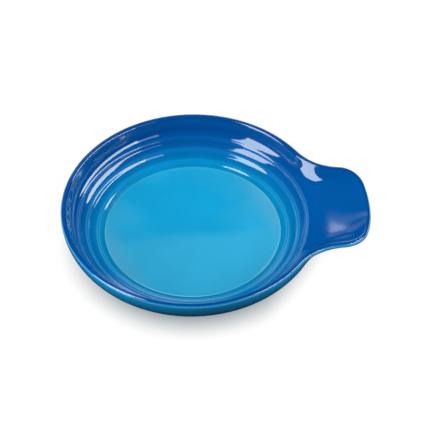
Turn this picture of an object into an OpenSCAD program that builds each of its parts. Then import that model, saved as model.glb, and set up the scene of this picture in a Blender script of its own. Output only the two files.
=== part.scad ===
// Spoon rest: a round, shallow stoneware dish with three raised rings round its floor
// and one scooped tab for the handle. The clay is a single pressed piece under three coats of glaze.
// The dish's axis is Z, the table is the plane z = 0 and the tab points along +X.

/* [Bowl] */
// Outside diameter of the bowl at the rim
rim_d = 127; // [116:1:140]
// Height from the table to the top of the rim
bowl_h = 22.2; // [20:0.1:26]
// Distance across the wall, from the floor's edge to the outside of the rim
wall_run = 19.5; // [17.5:0.1:24]
// Thickness of the floor with its glaze
floor_t = 4.6; // [3.8:0.1:5]
// Radius of the wall's upward sweep on the inside
sweep_r = 22.9; // [20:0.1:26]
// Slope at which the wall leaves the floor
floor_edge_angle = 13.5; // [10:0.5:18]
// Thickness of the swept wall with its glaze
wall_t = 4.1; // [3.6:0.1:4.8]
// Thickness of the round lip with its glaze
lip_t = 3; // [2.4:0.1:3.6]
// Slope of the inside wall where it meets the lip
lip_inner_angle = 70; // [60:1:78]
// Slope of the outside wall where it meets the lip
lip_outer_angle = 86; // [70:1:92]

/* [Rings] */
// Number of raised rings on the lower wall
ring_count = 3; // [1:1:3]
// Distance from ring to ring along the wall
ring_pitch = 5.95; // [5:0.05:6.4]
// Width of one ring
ring_w = 4.2; // [3:0.1:4.8]
// Height of one ring above the swept wall
ring_h = 0.48; // [0.2:0.02:0.6]

/* [Tab] */
// Distance that the tab reaches beyond the rim
tab_reach = 22.5; // [18:0.5:28]
// Width of the tab where its sides cross the rim's front
tab_w = 53.3; // [46:0.1:60]
// Angle by which each side of the tab draws in
tab_taper_angle = 4.7; // [2:0.1:10]
// Radius of the hollow neck between rim and tab
neck_r = 27.4; // [18:0.2:32]
// Radius of the tab's corners
corner_r = 13.5; // [9:0.5:16]
// Radius of the tab's bowed end
end_r = 58; // [48:1:100]
// Drop of the lip below the rim where the neck ends
neck_drop = 0.4; // [0:0.1:1]
// Further drop of the lip to the middle of the tab's end, where a handle lies
end_drop = 4.8; // [2:0.1:6]
// Slope of the scoop's sides where they meet the lip
scoop_side_angle = 40; // [32:1:52]
// Slope of the scoop's floor where it meets the end
scoop_end_angle = 5.5; // [3:0.5:12]
// Slope of the tab's underside at its sides
under_side_angle = 38; // [28:1:50]
// Slope of the tab's underside at its end
under_end_angle = 14; // [8:0.5:20]

/* [Foot] */
// Distance that the foot ring's outside lies beyond the floor's edge
foot_reach = 3; // [1:0.1:5]
// Height of the bare foot ring below the glazed base
foot_h = 0.9; // [0.7:0.05:2]
// Width of the foot ring
foot_w = 4; // [3:0.1:6]
// Bevel on the foot's two lower edges
foot_bevel = 0.5; // [0.2:0.05:0.8]
// Band of bare clay between the foot and the outside glaze
bare_w = 0.6; // [0.3:0.1:1.2]

/* [Glaze] */
// Thickness of a glaze coat
glaze_t = 0.4; // [0.25:0.05:0.6]
// Place on the round lip where the inside and outside coats meet, from level
glaze_seam_angle = 50; // [40:1:80]

/* [Hidden] */
$fn = 128;

rim_r = rim_d / 2;
floor_r = rim_r - wall_run;
floor_h = foot_h + floor_t;
foot_r = floor_r + foot_reach;
foot_inner_r = foot_r - foot_w;
lip_r = lip_t / 2;
// Half the sector that the tab takes from the round bowl, and what it keeps of the round lip
sector_angle = 45;
sector_margin_angle = 1;
// Slope on the outside of the bowl where the tab's underside leaves it
under_start_angle = 36;
// Centre of the wall's sweep, as radius and height
sweep_c = [floor_r - sweep_r * sin(floor_edge_angle), floor_h + sweep_r * cos(floor_edge_angle)];
// Undersides of the floor, glazed and bare
base_z = foot_h;
clay_base_z = base_z + glaze_t;
// Length of the ringed wall, which ends on the last ring's outer flank
flank_share = 3 / 4;
ringed_l = (ring_count - 1) * ring_pitch + ring_w * flank_share;

// Points along one ring, the wall above it, the lip and the tab's outline
ring_step_shares = [0, 1 / 6, 1 / 3, 1 / 2, 2 / 3, 5 / 6];
last_ring_shares = [0, 1 / 6, 1 / 3, 1 / 2, 5 / 8, flank_share];
wall_steps = 6;
lip_steps = 5;
bowl_stations = 2;
neck_stations = 7;
side_stations = 1;
corner_stations = 5;
end_stations = 4;

// Pulls of the curves between ringed wall and lip, as shares of the curve's chord
wall_pull_share = 1 / 3;
scoop_start_share = 0.18;
scoop_side_share = 0.3;
scoop_end_share = 0.33;
under_pull_share = 0.37;
// Share of the neck in which the bowl's wall turns into the tab's, and how late past it the lip falls
turn_share = 0.6;
fall_power = 1.75;

function mix(a, b, f) = a + (b - a) * f;
function ease(f) = f * f * (3 - 2 * f);
function degrees(turn) = turn * 180 / PI;
function polar(radius, angle) = radius * [cos(angle), sin(angle)];
function raise(plan, z) = [plan.x, plan.y, z];
function bezier(a, b, c, d, f) =
    mix(mix(mix(a, b, f), mix(b, c, f), f), mix(mix(b, c, f), mix(c, d, f), f), f);

// Ringed wall, by distance from the floor's edge
ring_places = [
    for (k = [0 : ring_count - 1], share = k < ring_count - 1 ? ring_step_shares : last_ring_shares)
        k * ring_pitch + share * ring_w
];
function ring_phase(dist) = 360 * (dist - floor(dist / ring_pitch) * ring_pitch) / ring_w;
function ring_lift(dist) = ring_phase(dist) < 360 ? ring_h * (1 - cos(ring_phase(dist))) / 2 : 0;
function ring_tilt(dist) =
    ring_phase(dist) < 360 ? atan(PI * ring_h / ring_w * sin(ring_phase(dist))) : 0;
function sweep_angle(dist) = floor_edge_angle + degrees(dist / sweep_r);
function wall_slope(dist) = sweep_angle(dist) + ring_tilt(dist);
// Radius and height on the ringed wall, a depth below its glazed face
function ringed_wall(dist, depth) =
    sweep_c + (sweep_r - ring_lift(dist)) * [sin(sweep_angle(dist)), -cos(sweep_angle(dist))]
    + depth * [sin(wall_slope(dist)), -cos(wall_slope(dist))];
// Radius and height on the outside of the bowl, a depth inside its glazed face
function outer_sweep(slope, depth) =
    sweep_c + (sweep_r + wall_t - depth) * [sin(slope), -cos(slope)];
function foot_slope(depth) = asin((foot_r + bare_w - sweep_c.x) / (sweep_r + wall_t - depth));

// Plan of the tab: neck, side, corner and end run tangent into one another
side_normal = 90 - tab_taper_angle;
across = polar(1, side_normal);
along = polar(1, side_normal - 90);
side_dist = [rim_r, tab_w / 2] * across;
end_c = [rim_r + tab_reach - end_r, 0];
corner_from_end = (side_dist - corner_r) * across - end_c;
corner_run = sqrt(
    (end_r - corner_r) ^ 2 - corner_from_end * corner_from_end + (corner_from_end * along) ^ 2
) - corner_from_end * along;
corner_c = (side_dist - corner_r) * across + corner_run * along;
corner_normal = atan2(corner_c.y - end_c.y, corner_c.x - end_c.x);
// The neck's fillet ends just before the corner starts at the latest, and starts within the tab's sector
neck_limit_share = 0.98;
corner_limit = (corner_run ^ 2 - rim_r ^ 2 + side_dist ^ 2) / (2 * (rim_r - side_dist));
reach_share = cos(side_normal - sector_angle + sector_margin_angle);
sector_limit = (rim_r * reach_share - side_dist) / (1 - reach_share);
neck = min(neck_r, neck_limit_share * corner_limit, sector_limit);
neck_run = sqrt((rim_r + neck) ^ 2 - (side_dist + neck) ^ 2);
neck_c = (side_dist + neck) * across + neck_run * along;
neck_normal = atan2(neck_c.y, neck_c.x);

bowl_l = rim_r * PI * (sector_angle - neck_normal) / 180;
neck_l = neck * PI * (side_normal - neck_normal) / 180;
side_l = corner_run - neck_run;
corner_l = corner_r * PI * (side_normal - corner_normal) / 180;
end_l = end_r * PI * corner_normal / 180;
outline_l = bowl_l + neck_l + side_l + corner_l + end_l;
// Rate at which the ringed wall's angle follows the outline where the tab's sector starts
start_rate = degrees(outline_l / rim_r) / sector_angle;
function wall_bearing(run) =
    let (f = run / outline_l) sector_angle * (1 - start_rate * f + (start_rate - 1) * f * f);

// How far the bowl has turned into the tab, and the tab's side into its end, along the outline
function tab_weight(run) = ease(min(1, max(0, run - bowl_l) / (neck_l * turn_share)));
function end_weight(run) =
    let (f = (max(0, run - bowl_l - neck_l) / (side_l + corner_l + end_l)) ^ fall_power) f * (2 - f);

// A station holds the bearing on the ringed wall, the outline's point, its outward normal,
// how far the bowl has turned into the tab and how far the tab into its end
function bowl_station(angle) = [angle, polar(rim_r, angle), angle, 0, 0];
function tab_station(run, point, normal) =
    [wall_bearing(run), point, normal, tab_weight(run), end_weight(run)];
half_outline = [
    for (i = [1 : bowl_stations])
        let (f = i / bowl_stations, a = mix(sector_angle, neck_normal, f))
        tab_station(bowl_l * f, polar(rim_r, a), a),
    for (i = [1 : neck_stations])
        let (f = i / neck_stations, a = mix(neck_normal, side_normal, f))
        tab_station(bowl_l + neck_l * f, neck_c - polar(neck, a), a),
    for (i = [1 : side_stations])
        let (f = i / side_stations, run = mix(neck_run, corner_run, f))
        tab_station(bowl_l + neck_l + side_l * f, side_dist * across + run * along, side_normal),
    for (i = [1 : corner_stations])
        let (f = i / corner_stations, a = mix(side_normal, corner_normal, f))
        tab_station(bowl_l + neck_l + side_l + corner_l * f, corner_c + polar(corner_r, a), a),
    for (i = [1 : end_stations])
        let (f = i / end_stations, a = corner_normal * (1 - f))
        tab_station(outline_l - end_l * (1 - f), end_c + polar(end_r, a), a)
];
half_count = len(half_outline);
function mirrored(s) = [-s[0], [s[1].x, -s[1].y], -s[2], s[3], s[4]];
// The sector is drawn with its first edge on the X axis, so that its two cut faces are true planes
function turned(s) = [
    s[0] + sector_angle,
    polar(norm(s[1]), atan2(s[1].y, s[1].x) + sector_angle),
    s[2] + sector_angle,
    s[3],
    s[4]
];
stations = [
    bowl_station(0),
    for (i = [0 : half_count - 1]) turned(mirrored(half_outline[i])),
    for (i = [half_count - 2 : -1 : 0]) turned(half_outline[i]),
    bowl_station(2 * sector_angle)
];

// Round lip: a bead that follows the outline, with its angle counted up from level outside
function lip_point(s, angle, depth) =
    let (r = lip_r - depth, drop = neck_drop * s[3] + end_drop * s[4])
    raise(s[1] + polar(r * cos(angle) - lip_r, s[2]), bowl_h - lip_r - drop + r * sin(angle));
function inner_slope(s) = mix(mix(lip_inner_angle, scoop_side_angle, s[3]), scoop_end_angle, s[4]);
function outer_slope(s) = mix(mix(lip_outer_angle, under_side_angle, s[3]), under_end_angle, s[4]);
function heading(angle, slope) = raise(polar(cos(slope), angle), sin(slope));
function on_ray(rz, angle) = raise(polar(rz.x, angle), rz.y);

// Inside from the axis over floor, rings and wall to the seam on the lip
function inside_line(s, depth) =
    let (
        start = on_ray(ringed_wall(ringed_l, depth), s[0]),
        turn = 90 + inner_slope(s),
        stop = lip_point(s, turn, depth),
        chord = norm(stop - start),
        first = chord * mix(wall_pull_share, scoop_start_share, s[3]),
        last = chord * mix(mix(wall_pull_share, scoop_side_share, s[3]), scoop_end_share, s[4]),
        start_pull = start + first * heading(s[0], wall_slope(ringed_l)),
        stop_pull = stop - last * heading(s[2], inner_slope(s))
    )
    [
        [0, 0, floor_h - depth],
        for (dist = ring_places) on_ray(ringed_wall(dist, depth), s[0]),
        for (i = [1 : wall_steps - 1]) bezier(start, start_pull, stop_pull, stop, i / wall_steps),
        for (i = [0 : lip_steps]) lip_point(s, mix(turn, glaze_seam_angle, i / lip_steps), depth)
    ];

// Outside from the edge of the bare clay up the wall, or along the tab, to the lip
function outside_line(s, depth) =
    let (
        start = on_ray(outer_sweep(under_start_angle, depth), s[0]),
        turn = outer_slope(s) - 90,
        stop = lip_point(s, turn, depth),
        pull = norm(stop - start) * under_pull_share,
        start_pull = start + pull * heading(s[0], under_start_angle),
        stop_pull = stop - pull * heading(s[2], outer_slope(s)),
        last = len(ring_places) - 1
    )
    [
        for (i = [0 : last])
            on_ray(outer_sweep(mix(foot_slope(depth), under_start_angle, i / last), depth), s[0]),
        for (i = [1 : wall_steps - 1]) bezier(start, start_pull, stop_pull, stop, i / wall_steps),
        for (i = [0 : lip_steps]) lip_point(s, mix(turn, glaze_seam_angle, i / lip_steps), depth)
    ];
function underside_line(s) =
    let (outside = outside_line(s, glaze_t))
    [
        [0, 0, clay_base_z],
        on_ray([foot_r - foot_w / 2, clay_base_z], s[0]),
        for (i = [0 : len(outside) - 2]) outside[i]
    ];

function face_lines(name, s) =
    name == "clay" ? [inside_line(s, glaze_t), underside_line(s)]
    : name == "inside" ? [inside_line(s, 0), inside_line(s, glaze_t)]
    : [outside_line(s, glaze_t), outside_line(s, 0)];

// Bowl with the tab's sector left out, turned from the lines of one plain section
module plain_bowl(name) {
    lines = face_lines(name, bowl_station(0));
    over = lines[0];
    under = lines[1];
    rotate_extrude(angle = 360 - 2 * sector_angle, start = 2 * sector_angle)
        polygon([
            for (p = over) [p.x, p.z],
            for (i = [len(under) - 1 : -1 : 0]) [under[i].x, under[i].z]
        ]);
}

// Sector with the tab, lofted through the stations between an upper and a lower face
module tab_sector(name) {
    lines = [for (s = stations) face_lines(name, s)];
    n = len(lines[0][0]);
    last = len(stations) - 1;
    // A face that reaches the axis has one shared point there
    axis = norm([lines[0][0][0].x, lines[0][0][0].y]) == 0;
    function over(j, k) = axis && k == 0 ? 0 : 2 * n * j + k;
    function under(j, k) = axis && k == 0 ? n : 2 * n * j + n + k;
    polyhedron(
        points = [for (pair = lines, side = pair, p = side) p],
        faces = [
            for (j = [0 : last - 1], k = [0 : n - 2]) each [
                [over(j, k), over(j + 1, k + 1), over(j, k + 1)],
                [under(j, k), under(j, k + 1), under(j + 1, k + 1)],
                if (!axis || k > 0) [over(j, k), over(j + 1, k), over(j + 1, k + 1)],
                if (!axis || k > 0) [under(j, k), under(j + 1, k + 1), under(j + 1, k)]
            ],
            for (j = [0 : last - 1]) each [
                [over(j, n - 1), under(j + 1, n - 1), under(j, n - 1)],
                [over(j, n - 1), over(j + 1, n - 1), under(j + 1, n - 1)],
                if (!axis) [over(j, 0), under(j, 0), under(j + 1, 0)],
                if (!axis) [over(j, 0), under(j + 1, 0), over(j + 1, 0)]
            ],
            for (k = [0 : n - 2]) each [
                [over(0, k), over(0, k + 1), under(0, k + 1)],
                [over(0, k), under(0, k + 1), under(0, k)],
                [over(last, k), under(last, k + 1), over(last, k + 1)],
                [over(last, k), under(last, k), under(last, k + 1)]
            ]
        ]
    );
}

module bowl_with_tab(name) {
    rotate([0, 0, -sector_angle])
        union() {
            plain_bowl(name);
            tab_sector(name);
        }
}

// Foot ring, sunk half-way into the floor so that it is one piece with it
module foot_ring() {
    foot_top = mix(clay_base_z, floor_h - glaze_t, 1 / 2);
    rotate_extrude()
        polygon([
            [foot_inner_r + foot_bevel, 0],
            [foot_r - foot_bevel, 0],
            [foot_r, foot_bevel],
            [foot_r, foot_top],
            [foot_inner_r, foot_top],
            [foot_inner_r, foot_bevel]
        ]);
}

// Fired clay, bare only at the foot ring
module stoneware_body() {
    color([0.82, 0.74, 0.62])
        union() {
            bowl_with_tab("clay");
            foot_ring();
        }
}

// Shaded blue coat over floor, rings, scoop and the top of the lip
module inside_glaze() {
    color([0.02, 0.4, 0.7]) bowl_with_tab("inside");
}

// Lighter coat from the lip's shoulder down to the foot
module outside_glaze() {
    color([0.03, 0.53, 0.77]) bowl_with_tab("outside");
}

// Coat on the recessed base within the foot ring
module base_glaze() {
    color([0.03, 0.53, 0.77])
        translate([0, 0, base_z]) cylinder(r = foot_inner_r, h = glaze_t);
}

stoneware_body();
inside_glaze();
outside_glaze();
base_glaze();
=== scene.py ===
import math
from collections import namedtuple

import bmesh
import bpy
from mathutils import Matrix, Vector
from mathutils.kdtree import KDTree


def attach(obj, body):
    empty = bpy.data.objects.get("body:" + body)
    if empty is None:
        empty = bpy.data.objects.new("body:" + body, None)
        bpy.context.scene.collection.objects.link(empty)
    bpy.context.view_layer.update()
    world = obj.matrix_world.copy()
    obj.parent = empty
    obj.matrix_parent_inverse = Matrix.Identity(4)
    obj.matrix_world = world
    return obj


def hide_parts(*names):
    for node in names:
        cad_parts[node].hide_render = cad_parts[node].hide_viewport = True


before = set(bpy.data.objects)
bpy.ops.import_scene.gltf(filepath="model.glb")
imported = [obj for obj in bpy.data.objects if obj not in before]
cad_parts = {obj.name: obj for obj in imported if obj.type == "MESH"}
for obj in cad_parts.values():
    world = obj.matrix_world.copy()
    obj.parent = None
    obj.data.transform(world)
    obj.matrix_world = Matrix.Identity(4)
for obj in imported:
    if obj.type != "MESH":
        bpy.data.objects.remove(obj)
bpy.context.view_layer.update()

bl_info = {
    "name": "Spoon rest",
    "version": (1, 0, 0),
    "blender": (4, 5, 0),
    "location": "View3D > Sidebar > Spoon rest",
    "description": "Glazed stoneware spoon rest with a ringed dish and a scooped handle tab",
    "category": "Object",
}

MM = 0.001
# Half of the front sector in which the outline leaves its circle
SECTOR = math.radians(45)
# Shares of the floor's radius across the fine bead, with its crest in the middle
BEAD = (0.953, 0.96, 0.966, 0.972, 0.978, 0.984, 0.991)
CREST = BEAD[3]
WELD = 0.002 * MM
SMOOTH_BELOW = math.radians(60)


def length(name, description, default):
    return bpy.props.FloatProperty(
        name=name, description=description, default=default, unit="LENGTH", precision=5
    )


def angle(name, description, degrees):
    return bpy.props.FloatProperty(
        name=name, description=description, default=math.radians(degrees), subtype="ANGLE"
    )


def strength(name, description, default):
    return bpy.props.FloatProperty(name=name, description=description, default=default)


def colour(name, description, rgb):
    return bpy.props.FloatVectorProperty(
        name=name, description=description, default=rgb, subtype="COLOR", min=0, max=1
    )


def srgb(r, g, b):
    """Linear colour of an 8-bit display colour"""
    return tuple(
        c / 12.92 if c <= 0.04045 else ((c + 0.055) / 1.055) ** 2.4
        for c in (r / 255, g / 255, b / 255)
    )


class BowlSizes(bpy.types.PropertyGroup):
    """Sizes of the round dish and its rings"""

    rim_radius: length("Rim radius", "Outside radius of the lip", 63.5 * MM)
    height: length("Height", "Table to the top of the lip", 22.2 * MM)
    floor_radius: length("Floor radius", "Radius of the flat floor", 44.0 * MM)
    floor_height: length("Floor height", "Table to the floor's upper face", 5.5 * MM)
    sweep_radius: length("Sweep radius", "Radius of the wall's sweep inside", 22.9 * MM)
    floor_edge: angle("Floor edge", "Slope at which the wall leaves the floor", 13.5)
    wall: length("Wall", "Thickness of the swept wall", 4.1 * MM)
    lip: length("Lip", "Thickness of the round lip", 3.0 * MM)
    lip_inner: angle("Lip inner slope", "Slope of the inside wall at the lip", 70)
    lip_outer: angle("Lip outer slope", "Slope of the outside wall at the lip", 86)
    ring_count: bpy.props.IntProperty(
        name="Rings", description="Raised rings on the wall", default=3
    )
    ring_pitch: length("Ring pitch", "Ring to ring along the wall", 5.95 * MM)
    ring_width: length("Ring width", "Width of one ring", 4.2 * MM)
    ring_height: length("Ring height", "Height of one ring", 0.48 * MM)
    bead_height: length("Bead height", "Height of the fine bead round the floor", 0.2 * MM)
    foot_radius: length("Foot radius", "Outside radius of the bare foot ring", 47.0 * MM)
    bare_band: length("Bare band", "Bare clay between foot and glaze", 0.6 * MM)
    coat: length("Coat", "Thickness of the glaze", 0.4 * MM)
    seam: angle("Seam", "Place on the lip where the two coats meet", 50)


class TabSizes(bpy.types.PropertyGroup):
    """Sizes of the scooped handle tab"""

    reach: length("Reach", "Tab beyond the rim", 22.5 * MM)
    width: length("Width", "Width where the sides cross the rim's front", 53.3 * MM)
    taper: angle("Taper", "Angle by which each side draws in", 4.7)
    neck: length("Neck radius", "Radius of the hollow neck", 27.4 * MM)
    corner: length("Corner radius", "Radius of the corners", 13.5 * MM)
    end: length("End radius", "Radius of the bowed end", 58.0 * MM)
    neck_drop: length("Neck drop", "Lip below the rim where the neck ends", 0.4 * MM)
    end_drop: length("End drop", "Middle of the end below the neck's end", 4.8 * MM)
    scoop_side: angle("Scoop side slope", "Slope of the scoop's sides at the lip", 40)
    scoop_end: angle("Scoop end slope", "Slope of the scoop at its end", 5.5)
    under_start: angle("Underside start", "Slope where the underside leaves the bowl", 36)
    under_side: angle("Underside side slope", "Slope of the underside at the sides", 38)
    under_end: angle("Underside end slope", "Slope of the underside at the end", 14)


class GlazeColours(bpy.types.PropertyGroup):
    """Colours of the coats and the clay"""

    # The floor is darker behind its middle and lighter round it
    floor: colour("Floor", "Glaze on the floor where it lies thicker", srgb(17, 162, 214))
    lighter_floor: colour("Thin floor", "Glaze on the floor where it lies thin", srgb(52, 170, 214))
    # Painted reflection at the floor's two sides
    floor_sheen: colour("Pale floor", "Glaze at the floor's two pale sides", srgb(88, 174, 212))
    # Painted reflection lines on the rings' shoulders and the floor's bead
    painted_sheen_line: colour("Pale line", "Glaze where it breaks over an edge", srgb(104, 194, 228))
    first_ring: colour("First ring", "Glaze on the ring next to the floor", srgb(3, 146, 205))
    second_ring: colour("Second ring", "Glaze on the middle ring", srgb(2, 121, 192))
    third_ring: colour("Third ring", "Glaze on the upper ring", srgb(2, 99, 177))
    wall: colour("Wall", "Deeper glaze on the upper wall and the scoop", srgb(0, 87, 164))
    upper_wall: colour("Upper wall", "Deep glaze under the lip", srgb(1, 79, 153))
    lip: colour("Lip", "Deepest glaze on the lip", srgb(1, 76, 152))
    outside: colour("Outside", "Outside coat", srgb(8, 146, 206))
    deep_outside: colour("Deep outside", "Outside wall below the lip", srgb(6, 132, 196))
    clay: colour("Clay", "Bare fired clay", srgb(206, 188, 160))


class StageSettings(bpy.types.PropertyGroup):
    """Camera and lights"""

    elevation: angle("Elevation", "Height of the camera over the table", 47.531)
    azimuth: angle("Azimuth", "Bearing of the camera round the dish", 269.744)
    roll: angle("Roll", "Roll of the camera", -1.12)
    distance: length("Distance", "Camera to the middle of the floor", 2.0)
    left_power: strength("Left light", "Radiance of the left softbox", 5.2)
    right_power: strength("Right light", "Radiance of the right panel", 5.6)
    side_power: strength("Side fill", "Radiance of the left fill", 1.3)
    front_power: strength("Front fill", "Radiance of the front fill", 0.15)
    top_power: strength("Top fill", "Radiance of the top fill", 3.3)
    fill: strength("Fill", "Strength of the surrounding light", 1.0)


def share_between(low, high, value):
    return min(1, max(0, (value - low) / (high - low)))


def mix(a, b, f):
    return a + (b - a) * f


def ease(f):
    return f * f * (3 - 2 * f)


def polar(radius, turn):
    return Vector((radius * math.cos(turn), radius * math.sin(turn)))


def raised(plan, z):
    return Vector((plan.x, plan.y, z))


def heading(turn, slope):
    return raised(polar(math.cos(slope), turn), math.sin(slope))


def bezier(a, b, c, d, f):
    ab, bc, cd = a.lerp(b, f), b.lerp(c, f), c.lerp(d, f)
    return ab.lerp(bc, f).lerp(bc.lerp(cd, f), f)


# A place on the outline: bearing on the rings, outline point, its normal,
# and how far the bowl has become tab and the tab has become end
Station = namedtuple("Station", "bearing point normal tab end")


class Form:
    """Curves of the spoon rest: where each point of a coat lies at a place on the outline"""

    LAST_RING = 0.75
    WALL_PULL = 1 / 3
    SCOOP_START, SCOOP_SIDE, SCOOP_END = 0.18, 0.3, 0.33
    UNDER_PULL = 0.37
    TURN_SHARE, FALL_POWER = 0.6, 1.75

    def __init__(self, bowl, tab):
        self.b, self.t = bowl, tab
        b, t = bowl, tab
        self.sweep_x = b.floor_radius - b.sweep_radius * math.sin(b.floor_edge)
        self.sweep_z = b.floor_height + b.sweep_radius * math.cos(b.floor_edge)
        self.ringed = (b.ring_count - 1) * b.ring_pitch + self.LAST_RING * b.ring_width
        self.lip_r = b.lip / 2
        # Plan of the tab: neck, side, corner and end run tangent into one another
        rim = b.rim_radius
        self.side_turn = math.pi / 2 - t.taper
        across, along_side = polar(1, self.side_turn), polar(1, self.side_turn - math.pi / 2)
        side = Vector((rim, t.width / 2)).dot(across)
        self.end_c = Vector((rim + t.reach - t.end, 0))
        from_end = (side - t.corner) * across - self.end_c
        run = from_end.dot(along_side)
        rest = (t.end - t.corner) ** 2 - from_end.dot(from_end) + run * run
        corner_run = math.sqrt(rest) - run
        self.corner_c = (side - t.corner) * across + corner_run * along_side
        to_corner = self.corner_c - self.end_c
        self.corner_turn = math.atan2(to_corner.y, to_corner.x)
        limit = (corner_run**2 - rim**2 + side**2) / (2 * (rim - side))
        self.neck = min(t.neck, limit)
        neck_run = math.sqrt((rim + self.neck) ** 2 - (side + self.neck) ** 2)
        self.neck_c = (side + self.neck) * across + neck_run * along_side
        self.neck_turn = math.atan2(self.neck_c.y, self.neck_c.x)
        self.side_from = side * across + neck_run * along_side
        self.side_to = side * across + corner_run * along_side
        self.bowl_l = rim * (SECTOR - self.neck_turn)
        self.neck_l = self.neck * (self.side_turn - self.neck_turn)
        self.side_l = corner_run - neck_run
        self.corner_l = t.corner * (self.side_turn - self.corner_turn)
        self.end_l = t.end * self.corner_turn
        self.tab_l = self.side_l + self.corner_l + self.end_l
        self.outline_l = self.bowl_l + self.neck_l + self.tab_l
        self.start_rate = self.outline_l / rim / SECTOR

    def station(self, turn):
        """Place on the outline for a turn round the dish"""
        b, t = self.b, self.t
        if abs(turn) >= SECTOR:
            return Station(turn, polar(b.rim_radius, turn), turn, 0.0, 0.0)
        sign = -1 if turn < 0 else 1
        share = 1 - abs(turn) / SECTOR
        run = share * self.outline_l
        rate = self.start_rate
        bearing = SECTOR * (1 - rate * share + (rate - 1) * share * share)
        past_bowl = run - self.bowl_l
        past_neck = past_bowl - self.neck_l
        past_side = past_neck - self.side_l
        tab = ease(min(1, max(0, past_bowl) / self.neck_l / self.TURN_SHARE))
        end = (max(0, past_neck) / self.tab_l) ** self.FALL_POWER
        if past_bowl <= 0:
            normal = mix(SECTOR, self.neck_turn, run / self.bowl_l)
            point = polar(b.rim_radius, normal)
        elif past_neck <= 0:
            normal = mix(self.neck_turn, self.side_turn, past_bowl / self.neck_l)
            point = self.neck_c - polar(self.neck, normal)
        elif past_side <= 0:
            normal = self.side_turn
            point = self.side_from.lerp(self.side_to, past_neck / self.side_l)
        elif past_side <= self.corner_l:
            normal = mix(self.side_turn, self.corner_turn, past_side / self.corner_l)
            point = self.corner_c + polar(t.corner, normal)
        else:
            normal = self.corner_turn * (self.outline_l - run) / self.end_l
            point = self.end_c + polar(t.end, normal)
        point = Vector((point.x, sign * point.y))
        return Station(sign * bearing, point, sign * normal, tab, end * (2 - end))

    def ring_wave(self, dist):
        """Height of the ringed wall above its sweep, and its tilt"""
        b = self.b
        phase = (dist % b.ring_pitch) / b.ring_width
        if phase >= 1:
            return 0.0, 0.0
        turn = 2 * math.pi * phase
        lift = b.ring_height * (1 - math.cos(turn)) / 2
        return lift, math.atan(math.pi * b.ring_height / b.ring_width * math.sin(turn))

    def ringed_wall(self, st, dist, depth):
        """Point of the ringed wall and its slope there"""
        b = self.b
        sweep = b.floor_edge + dist / b.sweep_radius
        lift, tilt = self.ring_wave(dist)
        slope = sweep + tilt
        radius = b.sweep_radius - lift
        r = self.sweep_x + radius * math.sin(sweep) + depth * math.sin(slope)
        z = self.sweep_z - radius * math.cos(sweep) - depth * math.cos(slope)
        return raised(polar(r, st.bearing), z), slope

    def outer_sweep(self, st, slope, depth):
        radius = self.b.sweep_radius + self.b.wall - depth
        r = self.sweep_x + radius * math.sin(slope)
        z = self.sweep_z - radius * math.cos(slope)
        return raised(polar(r, st.bearing), z)

    def lip(self, st, turn, depth):
        r = self.lip_r - depth
        drop = self.t.neck_drop * st.tab + self.t.end_drop * st.end
        z = self.b.height - self.lip_r - drop + r * math.sin(turn)
        return raised(st.point + polar(r * math.cos(turn) - self.lip_r, st.normal), z)

    def inner_slope(self, st):
        side = mix(self.b.lip_inner, self.t.scoop_side, st.tab)
        return mix(side, self.t.scoop_end, st.end)

    def outer_slope(self, st):
        side = mix(self.b.lip_outer, self.t.under_side, st.tab)
        return mix(side, self.t.under_end, st.end)

    def inside_point(self, st, part, f, depth):
        """Point of the inside coat: part is floor, rings, wall or lip, f the share along it"""
        b = self.b
        if part == "floor":
            across_bead = math.pi * share_between(BEAD[0], BEAD[-1], f)
            bead = b.bead_height * math.sin(across_bead) ** 2
            return raised(polar(b.floor_radius * f, st.bearing), b.floor_height + bead - depth)
        if part == "rings":
            return self.ringed_wall(st, self.ringed * f, depth)[0]
        slope = self.inner_slope(st)
        turn = math.pi / 2 + slope
        if part == "lip":
            return self.lip(st, mix(turn, b.seam, f), depth)
        start, start_slope = self.ringed_wall(st, self.ringed, depth)
        stop = self.lip(st, turn, depth)
        chord = (stop - start).length
        first = chord * mix(self.WALL_PULL, self.SCOOP_START, st.tab)
        last = chord * mix(mix(self.WALL_PULL, self.SCOOP_SIDE, st.tab), self.SCOOP_END, st.end)
        first_at = start + first * heading(st.bearing, start_slope)
        last_at = stop - last * heading(st.normal, slope)
        return bezier(start, first_at, last_at, stop, f)

    def outside_point(self, st, part, f, depth):
        """Point of the outside coat: part is sweep, wall or lip, f the share along it"""
        b, t = self.b, self.t
        if part == "sweep":
            reach = b.foot_radius + b.bare_band - self.sweep_x
            foot = math.asin(reach / (b.sweep_radius + b.wall - depth))
            return self.outer_sweep(st, mix(foot, t.under_start, f), depth)
        slope = self.outer_slope(st)
        turn = slope - math.pi / 2
        if part == "lip":
            return self.lip(st, mix(turn, b.seam, f), depth)
        start = self.outer_sweep(st, t.under_start, depth)
        stop = self.lip(st, turn, depth)
        pull = (stop - start).length * self.UNDER_PULL
        first_at = start + pull * heading(st.bearing, t.under_start)
        last_at = stop - pull * heading(st.normal, slope)
        return bezier(start, first_at, last_at, stop, f)


def steps(part, count, first=0):
    """Shares along one part of a section, from step first to the last of count"""
    return [(part, i / count) for i in range(first, count + 1)]


def there_and_back(shown, hidden):
    """The shown face, then the hidden face back again, as part, share and layer"""
    return [(p, f, 0) for p, f in shown] + [(p, f, 1) for p, f in reversed(hidden)]


def inside_section():
    """From the floor's middle to the lip"""
    floor = [("floor", f) for f in (0, 0.2, 0.4, 0.6, 0.8, 0.92, *BEAD, 0.996)]
    shown = floor + steps("rings", 54) + steps("wall", 20, 1) + steps("lip", 16, 1)
    plain_floor = [("floor", 0), ("floor", 0.9)]
    hidden = plain_floor + steps("rings", 18) + steps("wall", 8, 1) + steps("lip", 6, 1)
    return there_and_back(shown, hidden)


def outside_section():
    """From the foot to the lip"""
    shown = steps("sweep", 12) + steps("wall", 24, 1) + steps("lip", 20, 1)
    hidden = steps("sweep", 6) + steps("wall", 8, 1) + steps("lip", 6, 1)
    return there_and_back(shown, hidden)


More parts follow.
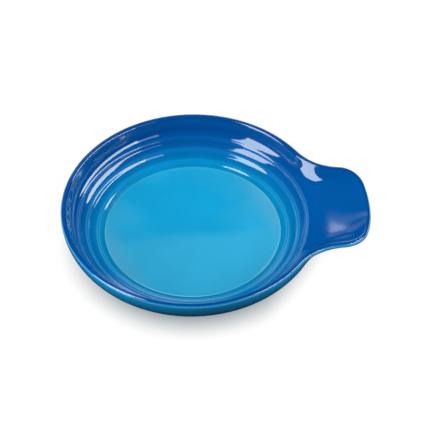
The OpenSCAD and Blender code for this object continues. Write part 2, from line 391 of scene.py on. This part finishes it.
def deselect():
    if bpy.context.mode != "OBJECT":
        bpy.ops.object.mode_set(mode="OBJECT")
    bpy.ops.object.select_all(action="DESELECT")


def draw_section(name, points):
    """One edge chain, drawn point by point from a single corner"""
    deselect()
    bpy.ops.mesh.primitive_circle_add(vertices=3, radius=MM)
    piece = bpy.context.object
    piece.name = piece.data.name = name
    bpy.ops.object.mode_set(mode="EDIT")
    bpy.ops.mesh.select_all(action="SELECT")
    bpy.ops.mesh.merge(type="CENTER")
    bpy.ops.transform.translate(value=points[0])
    for a, b in zip(points, points[1:]):
        bpy.ops.mesh.extrude_region_move(TRANSFORM_OT_translate={"value": b - a})
    return piece


def turn_section(piece, count, closed):
    """Joins the chain's ends if it is to be closed, and spins it once round the dish's axis"""
    if closed:
        mesh = bmesh.from_edit_mesh(piece.data)
        for v in mesh.verts:
            v.select_set(len(v.link_edges) == 1)
        mesh.select_flush_mode()
        bmesh.update_edit_mesh(piece.data)
        bpy.ops.mesh.edge_face_add()
    bpy.ops.mesh.select_all(action="SELECT")
    bpy.ops.mesh.spin(steps=count, angle=2 * math.pi, center=(0, 0, 0), axis=(0, 0, 1))
    bpy.ops.mesh.select_all(action="SELECT")
    bpy.ops.mesh.remove_doubles(threshold=WELD)
    bpy.ops.mesh.normals_make_consistent(inside=False)


def pull_tab(piece, section, point_at, form, count):
    """Pulls the front of the turned coat out into the tab, and notes how deep the glaze's colour
    lies and where sheen and shade are painted on the rings
    """
    plain = [point_at(form.station(math.pi), *s) for s in section]
    tree = KDTree(len(plain))
    for i, p in enumerate(plain):
        tree.insert((p.xy.length, p.z, 0), i)
    tree.balance()
    bpy.ops.object.mode_set(mode="OBJECT")
    places = []
    stations = {}
    for v in piece.data.vertices:
        index = tree.find((v.co.xy.length, v.co.z, 0))[1]
        step = round(math.atan2(v.co.y, v.co.x) / (2 * math.pi) * count)
        if step not in stations:
            stations[step] = form.station(2 * math.pi * step / count)
        places.append((section[index], stations[step]))
    tone = piece.data.attributes.new("tone", "FLOAT", "POINT")
    sheen_and_shade = piece.data.attributes.new("sheen_and_shade", "FLOAT", "POINT")
    for v, (place, st) in zip(piece.data.vertices, places):
        v.co = point_at(st, *place)
        tone.data[v.index].value = coat_tone(place, st)
        sheen_and_shade.data[v.index].value = ring_sheen_and_shade(place, st, form)


# Depth of the glaze's colour: 0 on the floor, 1 at the ringed wall's top, 2 at the lip
EDGE_TONE = 0.14
RING_FOOT_TONE, RING_TOP_TONE = 0.15, 1.0
UNDER_LIP_TONE, LIP_TONE = 1.8, 2.0
SCOOP_ROOT_TONE, SCOOP_LIP_TONE = 1.06, 1.16


def coat_tone(place, st):
    part, f, _ = place
    if part == "floor" and f >= CREST:
        return EDGE_TONE
    if part == "rings":
        return mix(RING_FOOT_TONE, RING_TOP_TONE, f)
    if part == "wall":
        wall = mix(RING_TOP_TONE, UNDER_LIP_TONE, f)
        return mix(wall, mix(SCOOP_ROOT_TONE, SCOOP_LIP_TONE, f), st.tab)
    if part == "lip":
        return mix(UNDER_LIP_TONE, LIP_TONE, min(1, 4 * f))
    return 0.0


# Shares of a ring's height: the painted reflection line on its shoulder, how far that fades, the
# top of the painted shade in its hollow
SHOULDER, FADE, HOLLOW = 0.8, 0.2, 0.3
# Strength of the painted shade in the hollows
HOLLOW_SHADE = 0.5


def ring_sheen_and_shade(place, st, form):
    """Above 0 where a pale line is painted as a reflection over an edge, below 0 where shade is
    painted in a hollow
    """
    part, f, _ = place
    # The painted reflection is strongest in front and weakest behind
    pale = 0.5 - 0.45 * math.sin(st.bearing)
    if part == "rings":
        lift = form.ring_wave(form.ringed * f)[0] / form.b.ring_height
        line = max(0, 1 - abs(lift - SHOULDER) / FADE)
        return pale * line - HOLLOW_SHADE * max(0, 1 - lift / HOLLOW)
    # The floor's bead: painted reflection on its inner half, painted shade on its outer half
    if part == "floor" and f > BEAD[0]:
        return pale if f < CREST else -HOLLOW_SHADE
    return 0.0


def finish_coat(piece, node, material):
    deselect()
    piece.select_set(True)
    bpy.context.view_layer.objects.active = piece
    bpy.ops.object.shade_smooth_by_angle(angle=SMOOTH_BELOW)
    piece.data.materials.clear()
    piece.data.materials.append(material)
    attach(piece, "root")
    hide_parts(node)


def new_material(name):
    material = bpy.data.materials.new(name)
    material.use_nodes = True
    tree = material.node_tree
    return material, tree, tree.nodes["Principled BSDF"]


def node_of(tree, kind, **settings):
    """New node with its settings; those that start with in_ are sockets"""
    node = tree.nodes.new(kind)
    for key, value in settings.items():
        if key.startswith("in_"):
            node.inputs[key[3:].replace("_", " ")].default_value = value
        else:
            setattr(node, key, value)
    return node


def feed(tree, socket, value):
    """Links another node's output to the socket, or writes a plain value there"""
    if isinstance(value, bpy.types.NodeSocket):
        tree.links.new(value, socket)
    else:
        socket.default_value = value


def maths(tree, operation, *values, clamp=False):
    node = node_of(tree, "ShaderNodeMath", operation=operation, use_clamp=clamp)
    for socket, value in zip(node.inputs, values):
        feed(tree, socket, value)
    return node.outputs["Value"]


def measure(tree, operation, *vectors):
    """Number that a vector operation gives"""
    node = node_of(tree, "ShaderNodeVectorMath", operation=operation)
    for socket, vector in zip(node.inputs, vectors):
        feed(tree, socket, vector)
    return node.outputs["Value"]


def along(tree, value, start, stop, first, last, shape="LINEAR"):
    """Runs from the first to the last number while the value runs from start to stop"""
    node = node_of(tree, "ShaderNodeMapRange", interpolation_type=shape)
    ends = {"From Min": start, "From Max": stop, "To Min": first, "To Max": last}
    for socket, number in {"Value": value, **ends}.items():
        feed(tree, node.inputs[socket], number)
    return node.outputs["Result"]


def mapped(tree, vector, **settings):
    node = node_of(tree, "ShaderNodeMapping", **settings)
    feed(tree, node.inputs["Vector"], vector)
    return node.outputs["Vector"]


def noise(tree, place, scale, detail=2.0, roughness=0.5):
    node = node_of(
        tree, "ShaderNodeTexNoise", in_Scale=scale, in_Detail=detail, in_Roughness=roughness
    )
    feed(tree, node.inputs["Vector"], place)
    return node.outputs["Fac"]


def ramp(tree, share, stops):
    """Colour that runs through the stops, each a position and a colour"""
    node = tree.nodes.new("ShaderNodeValToRGB")
    band = node.color_ramp.elements
    while len(band) < len(stops):
        band.new(0.5)
    for element, (position, value) in zip(band, stops):
        element.position = position
        element.color = (*value, 1)
    feed(tree, node.inputs["Fac"], share)
    return node.outputs["Color"]


# Places of the colour sockets among those of a Mix node
MIX_SHARE, MIX_FIRST, MIX_SECOND, MIX_RESULT = 0, 6, 7, 2


def blend(tree, share, first, second):
    """Colour between the first and the second"""
    node = node_of(tree, "ShaderNodeMix", data_type="RGBA")
    for place, value in ((MIX_SHARE, share), (MIX_FIRST, first), (MIX_SECOND, second)):
        feed(tree, node.inputs[place], value)
    return node.outputs[MIX_RESULT]


def valued(tree, source, value):
    """Colour made brighter or darker"""
    node = tree.nodes.new("ShaderNodeHueSaturation")
    feed(tree, node.inputs["Value"], value)
    feed(tree, node.inputs["Color"], source)
    return node.outputs["Color"]


def tinted(tree, place, source, amount, scale):
    """Slow change of tone, as thicker and thinner glaze gives"""
    cloud = noise(tree, place, scale, detail=3)
    return valued(tree, source, along(tree, cloud, 0.3, 0.7, 1 - amount, 1 + amount))


def bumped(tree, height, strength, distance):
    node = node_of(tree, "ShaderNodeBump", in_Strength=strength, in_Distance=distance)
    feed(tree, node.inputs["Height"], height)
    return node.outputs["Normal"]


GLOSS = {
    "Roughness": 0.07,
    "IOR": 1.56,
    "Coat Weight": 1.0,
    "Coat Roughness": 0.02,
    "Coat IOR": 1.5,
}


def glaze_surface(tree, shader, place):
    """Gloss and the firing ripple that every coat shares"""
    for socket, value in GLOSS.items():
        shader.inputs[socket].default_value = value
    height = noise(tree, place, 160, detail=3, roughness=0.55)
    ripple = bumped(tree, height, strength=0.03, distance=0.4 * MM)
    feed(tree, shader.inputs["Normal"], ripple)
    feed(tree, shader.inputs["Coat Normal"], ripple)


def depth_of_tone(tree):
    """The tone attribute, and the same as a share from 0 to 1"""
    tone = node_of(tree, "ShaderNodeAttribute", attribute_name="tone").outputs["Fac"]
    return tone, maths(tree, "MULTIPLY", tone, 1 / LIP_TONE)


# Darker patch on the floor: its middle, its two radii and how cloudy its edge is
DARKEST_X, DARKEST_Y = -3.871 * MM, 17 * MM
DARK_RADIUS_X, DARK_RADIUS_Y = 32.258 * MM, 20 * MM
DARK_CLOUD = 2.2
# Painted reflection at the floor's two sides: their bearing, where it starts, where it is
# strongest and how pale it makes the floor
SHEEN_BEARING = math.radians(24.944)
SHEEN_FROM, SHEEN_TO, SHEEN_MOST = 31.208 * MM, 42.173 * MM, 0.7


def cloudy_floor(tree, place, colours):
    """Floor darker behind its middle and lighter round it, with a painted reflection at two
    sides
    """
    drawn = mapped(tree, place, in_Scale=(1.0, 2.4, 1.0), in_Rotation=(0, 0, 0.2))
    cloud = noise(tree, drawn, 24, detail=5, roughness=0.55)
    from_darkest = mapped(
        tree,
        place,
        in_Location=(-DARKEST_X / DARK_RADIUS_X, -DARKEST_Y / DARK_RADIUS_Y, 0),
        in_Scale=(1 / DARK_RADIUS_X, 1 / DARK_RADIUS_Y, 0),
    )
    away = maths(tree, "MULTIPLY_ADD", cloud, DARK_CLOUD, measure(tree, "LENGTH", from_darkest))
    # Share towards the lighter floor colour
    thin = along(tree, away, 1.6, 2.7, 0, 1)
    floor = ramp(tree, thin, [(0.15, colours.floor), (0.85, colours.lighter_floor)])
    # Painted reflection at the floor's two sides
    across = measure(tree, "DOT_PRODUCT", place, heading(SHEEN_BEARING, 0))
    aside = maths(tree, "ABSOLUTE", across)
    pale = along(tree, aside, SHEEN_FROM, SHEEN_TO, 0, SHEEN_MOST, "SMOOTHSTEP")
    return blend(tree, pale, floor, (*colours.floor_sheen, 1))


def inside_glaze_material(colours):
    material, tree, shader = new_material("shaded_blue_glaze")
    place = tree.nodes.new("ShaderNodeTexCoord").outputs["Object"]
    tone, share = depth_of_tone(tree)
    stops = [
        (0.0, colours.floor),
        (0.09, colours.first_ring),
        (0.266, colours.second_ring),
        (0.42, colours.third_ring),
        (0.53, colours.wall),
        (0.74, colours.upper_wall),
        (1.0, colours.lip),
    ]
    shades = ramp(tree, share, stops)
    off_floor = along(tree, tone, 0, 0.12, 0, 1)
    whole = blend(tree, off_floor, cloudy_floor(tree, place, colours), shades)
    # Painted shade in the hollows between the rings, painted reflection lines on their shoulders
    line = node_of(tree, "ShaderNodeAttribute", attribute_name="sheen_and_shade").outputs["Fac"]
    shaded_hollows = valued(tree, whole, along(tree, line, -HOLLOW_SHADE, 0, 0.9, 1.06))
    thin = along(tree, line, 0, 1, 0, 0.85)
    with_sheen = blend(tree, thin, shaded_hollows, (*colours.painted_sheen_line, 1))
    feed(tree, shader.inputs["Base Color"], tinted(tree, place, with_sheen, amount=0.04, scale=60))
    glaze_surface(tree, shader, place)
    return material


def outside_glaze_material(colours):
    material, tree, shader = new_material("azure_glaze")
    place = tree.nodes.new("ShaderNodeTexCoord").outputs["Object"]
    deep = colours.deep_outside
    stops = [(0.0, deep), (0.8, deep), (0.92, colours.outside)]
    shades = ramp(tree, depth_of_tone(tree)[1], stops)
    feed(tree, shader.inputs["Base Color"], tinted(tree, place, shades, amount=0.06, scale=60))
    glaze_surface(tree, shader, place)
    return material


def clay_material(colours):
    material, tree, shader = new_material("bare_stoneware")
    place = tree.nodes.new("ShaderNodeTexCoord").outputs["Object"]
    dark = tuple(0.55 * c for c in colours.clay)
    stops = [(0.0, dark), (0.36, dark), (0.44, colours.clay), (1.0, colours.clay)]
    specks = ramp(tree, noise(tree, place, 1400), stops)
    shades = tinted(tree, place, specks, amount=0.06, scale=90)
    feed(tree, shader.inputs["Base Color"], shades)
    shader.inputs["Roughness"].default_value = 0.85
    height = noise(tree, place, 2600, detail=4, roughness=0.6)
    grain = bumped(tree, height, strength=0.35, distance=0.2 * MM)
    feed(tree, shader.inputs["Normal"], grain)
    return material


TABLE_SIZE = 6
# How much light the table throws back up: in the dish's own shade in front, and elsewhere
SHADED_BOUNCE, OPEN_BOUNCE = 0.04, 0.9
# How far from the dish the table darkens, and how deep: to the eye and mirrored in the glaze
SHADOW_REACH, MIRRORED_REACH = 50 * MM, 100 * MM
SHADOW_DEPTH, TAB_SHADOW_DEPTH, MIRRORED_DEPTH = 0.8, 0.3, 60
WHITE_GAIN = 1.48


def table_material():
    material, tree, shader = new_material("white_table")
    shader.inputs["Roughness"].default_value = 0.9
    shader.inputs["Specular IOR Level"].default_value = 0.0
    ray = tree.nodes.new("ShaderNodeLightPath").outputs
    mirrored = ray["Is Glossy Ray"]
    parts = tree.nodes.new("ShaderNodeSeparateXYZ")
    feed(tree, parts.inputs["Vector"], tree.nodes.new("ShaderNodeTexCoord").outputs["Object"])
    x, y = parts.outputs["X"], parts.outputs["Y"]
    # Throws white light back up at the outside, least in front
    side = maths(tree, "ABSOLUTE", x)
    beside = along(tree, side, 38 * MM, 66 * MM, SHADED_BOUNCE, OPEN_BOUNCE)
    behind = along(tree, y, -45 * MM, -10 * MM, SHADED_BOUNCE, OPEN_BOUNCE)
    brighter = maths(tree, "MAXIMUM", beside, behind)
    bounce = along(tree, ray["Is Diffuse Ray"], 0, 1, 0.02, brighter)
    feed(tree, shader.inputs["Base Color"], bounce)
    # White to the eye and in the glaze, and darker close to the dish
    seen = maths(tree, "MAXIMUM", ray["Is Camera Ray"], mirrored)
    seen = maths(tree, "MAXIMUM", seen, ray["Is Transmission Ray"])
    open_sky = node_of(tree, "ShaderNodeAmbientOcclusion", samples=16)
    reach = along(tree, mirrored, 0, 1, SHADOW_REACH, MIRRORED_REACH)
    feed(tree, open_sky.inputs["Distance"], reach)
    # The shadow thins out under the tab, where light comes in from three sides
    depth = along(tree, x, 34 * MM, 62 * MM, SHADOW_DEPTH, TAB_SHADOW_DEPTH)
    depth = along(tree, mirrored, 0, 1, depth, MIRRORED_DEPTH)
    shade = maths(tree, "POWER", open_sky.outputs["AO"], depth)
    white = maths(tree, "MULTIPLY", shade, WHITE_GAIN, clamp=True)
    # The shadow takes a little of the glaze's blue
    tint = ramp(tree, white, [(0.25, (0.77, 0.91, 1.0)), (0.85, (1, 1, 1))])
    feed(tree, shader.inputs["Emission Color"], tint)
    feed(tree, shader.inputs["Emission Strength"], maths(tree, "MULTIPLY", seen, white))
    return material


class RestOperator(bpy.types.Operator):
    """Shared ground of the spoon rest's operators"""

    bl_options = {"REGISTER", "UNDO"}
    TURN_STEPS = 320

    def make_coat(self, context, name, section, closed, point_of, node, slot, material):
        scene = context.scene
        form = Form(scene.rest_bowl, scene.rest_tab)
        depth = (0.0, scene.rest_bowl.coat)

        def point_at(st, part, f, layer):
            return point_of(form, st, part, f, depth[layer])

        st = form.station(math.pi)
        piece = draw_section(name, [point_at(st, *s) for s in section])
        turn_section(piece, self.TURN_STEPS, closed)
        pull_tab(piece, section, point_at, form, self.TURN_STEPS)
        finish_coat(piece, node, material)


class REST_OT_inside_glaze(RestOperator):
    """Makes the shaded coat over floor, rings, wall, scoop and lip"""

    bl_idname = "rest.inside_glaze"
    bl_label = "Inside glaze"

    def execute(self, context):
        material = inside_glaze_material(context.scene.rest_colours)
        self.make_coat(
            context, "inside_coat", inside_section(), False, Form.inside_point,
            "inside_glaze", "inside_glaze", material,
        )
        return {"FINISHED"}


class REST_OT_outside_glaze(RestOperator):
    """Makes the lighter coat from the lip's shoulder to the foot, and colours the base"""

    bl_idname = "rest.outside_glaze"
    bl_label = "Outside glaze"

    def execute(self, context):
        material = outside_glaze_material(context.scene.rest_colours)
        self.make_coat(
            context, "outside_coat", outside_section(), True, Form.outside_point,
            "outside_glaze", "outside_glaze", material,
        )
        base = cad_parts["base_glaze"]
        base.data.materials.clear()
        base.data.materials.append(material)
        return {"FINISHED"}


class REST_OT_clay(RestOperator):
    """Gives the stoneware body its bare fired clay"""

    bl_idname = "rest.clay"
    bl_label = "Clay body"

    def execute(self, context):
        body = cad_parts["stoneware_body"]
        body.data.materials.clear()
        body.data.materials.append(clay_material(context.scene.rest_colours))
        return {"FINISHED"}


# Upright lamp panels: bearing in degrees, then half the width and the heights of the
# lower and upper edge, as tangents seen from the dish
PANELS = {
    "left_softbox": (206.25, 0.286, 0.15, 1.83),
    "right_panel": (-7.45, 0.714, 0.437, 0.866),
    "right_wing": (-50, 0.2, 0.48, 0.8),
    "left_fill": (188, 0.5, 0.1, 0.7),
    "front_fill": (268, 0.6, 0.1, 1.0),
}
PANEL_DISTANCE = 0.9
PANEL_TINT = (0.88, 1.0, 1.0)
WING_SHARE = 0.3
TOP_PLACE, TOP_SIZE = (0, 0.6, 1.04), 0.8

# Pale areas of a dark room, a lamp at the back with its halo and the foot of the backdrop:
# bearing, height and half sizes in degrees, the share that is even, and the strength
PALE_AREAS = (
    (98.7, 40, 2.2, 6.5, 0.2, 1.5),
    (99.2, 32, 3, 9, 0.2, 0.35),
    (97.5, 42, 5, 7, 0.1, 0.45),
    (84, 13, 15, 16, 0.3, 1.5),
)

# The lens in parts of a frame that is 430 parts wide, and how far the frame's middle lies
# right of and above the dish's
FRAME_WIDTH, FOCAL, TO_RIGHT, TO_TOP = 430, 4129.4, 22.16, 16.11
SENSOR_WIDTH = 36


def lamp(name, place, back, width, height, radiance, tint):
    """Area lamp whose back faces the given way"""
    deselect()
    bpy.ops.object.light_add(type="AREA", location=place)
    light = bpy.context.object
    light.name = light.data.name = name
    light.rotation_euler = back.to_track_quat("Z", "Y").to_euler()
    light.data.shape = "RECTANGLE"
    light.data.size = width
    light.data.size_y = height
    light.data.energy = radiance * math.pi * width * height
    light.data.color = tint
    return light


def softbox(name, radiance):
    """One of the upright panels"""
    degrees, half_width, low, high = PANELS[name]
    bearing = math.radians(degrees)
    place = raised(polar(PANEL_DISTANCE, bearing), PANEL_DISTANCE * (low + high) / 2)
    width, height = 2 * half_width * PANEL_DISTANCE, (high - low) * PANEL_DISTANCE
    return lamp(name, place, heading(bearing, 0), width, height, radiance, PANEL_TINT)


def top_fill(radiance):
    """Broad panel above and behind the dish"""
    place = Vector(TOP_PLACE)
    return lamp("top_fill", place, place, TOP_SIZE, TOP_SIZE, radiance, (1, 1, 1))


class REST_OT_stage(bpy.types.Operator):
    """Sets the table, the lamps, the surroundings and the camera"""

    bl_idname = "rest.stage"
    bl_label = "Stage"

    def execute(self, context):
        scene = context.scene
        s = scene.rest_stage
        self.table()
        softbox("left_softbox", s.left_power)
        softbox("right_panel", s.right_power)
        softbox("right_wing", WING_SHARE * s.right_power)
        # The fills light the shades and are never mirrored in the glaze
        side = softbox("left_fill", s.side_power)
        front = softbox("front_fill", s.front_power)
        for light in (side, front, top_fill(s.top_power)):
            light.visible_glossy = False
        self.surroundings(scene, s.fill)
        self.camera(scene, s)
        scene.view_settings.view_transform = "Standard"
        return {"FINISHED"}

    def table(self):
        deselect()
        bpy.ops.mesh.primitive_plane_add(size=TABLE_SIZE)
        floor = bpy.context.object
        floor.name = floor.data.name = "table"
        floor.data.materials.append(table_material())

    def surroundings(self, scene, fill):
        world = bpy.data.worlds.new("dim_studio")
        world.use_nodes = True
        tree = world.node_tree
        background = tree.nodes["Background"]
        background.inputs["Color"].default_value = (1, 1, 1, 1)
        way = tree.nodes.new("ShaderNodeTexCoord").outputs["Generated"]
        total = 0.0
        for *degrees, core, power in PALE_AREAS:
            bearing, height, half_width, half_height = map(math.radians, degrees)
            off = mapped(
                tree,
                way,
                vector_type="TEXTURE",
                in_Location=heading(bearing, height),
                in_Rotation=(0, -height, bearing),
                in_Scale=(1, half_width, half_height),
            )
            off_middle = measure(tree, "LENGTH", off)
            area = along(tree, off_middle, 1, core, 0, power * fill, "SMOOTHSTEP")
            total = maths(tree, "ADD", total, area)
        feed(tree, background.inputs["Strength"], total)
        scene.world = world

    def camera(self, scene, s):
        deselect()
        aim = Vector((0, 0, scene.rest_bowl.floor_height))
        ahead = -heading(s.azimuth, s.elevation)
        right = ahead.cross(Vector((0, 0, 1))).normalized()
        up = right.cross(ahead)
        turned_right = math.cos(s.roll) * right + math.sin(s.roll) * up
        turned_up = -math.sin(s.roll) * right + math.cos(s.roll) * up
        place = aim - s.distance * ahead
        look = (ahead * FOCAL + turned_right * TO_RIGHT + turned_up * TO_TOP).normalized()
        side = (turned_right - turned_right.dot(look) * look).normalized()
        top = side.cross(look)
        bpy.ops.object.camera_add(location=place)
        camera = bpy.context.object
        camera.name = camera.data.name = "view"
        basis = Matrix((side, top, -look)).transposed().to_4x4()
        basis.translation = place
        camera.matrix_world = basis
        camera.data.sensor_width = SENSOR_WIDTH
        camera.data.sensor_fit = "HORIZONTAL"
        camera.data.lens = SENSOR_WIDTH * FOCAL / FRAME_WIDTH
        camera.data.clip_start = 0.1
        camera.data.clip_end = 20
        scene.camera = camera


class REST_PT_panel(bpy.types.Panel):
    """Spoon rest in the sidebar"""

    bl_idname = "REST_PT_panel"
    bl_label = "Spoon rest"
    bl_space_type = "VIEW_3D"
    bl_region_type = "UI"
    bl_category = "Spoon rest"

    def draw(self, context):
        layout = self.layout
        for operator in OPERATORS:
            layout.operator(operator.bl_idname)
        for group in GROUPS:
            settings = getattr(context.scene, group)
            box = layout.box()
            for name in settings.__annotations__:
                box.prop(settings, name)


GROUPS = {
    "rest_bowl": BowlSizes,
    "rest_tab": TabSizes,
    "rest_colours": GlazeColours,
    "rest_stage": StageSettings,
}
OPERATORS = (REST_OT_stage, REST_OT_inside_glaze, REST_OT_outside_glaze, REST_OT_clay)


def register():
    for name, group in GROUPS.items():
        bpy.utils.register_class(group)
        setattr(bpy.types.Scene, name, bpy.props.PointerProperty(type=group))
    for cls in (*OPERATORS, REST_PT_panel):
        bpy.utils.register_class(cls)


def unregister():
    for cls in (REST_PT_panel, *reversed(OPERATORS)):
        bpy.utils.unregister_class(cls)
    for name, group in GROUPS.items():
        delattr(bpy.types.Scene, name)
        bpy.utils.unregister_class(group)


def main():
    register()
    bpy.ops.rest.stage()
    bpy.ops.rest.inside_glaze()
    bpy.ops.rest.outside_glaze()
    bpy.ops.rest.clay()


if __name__ == "__main__":
    main()
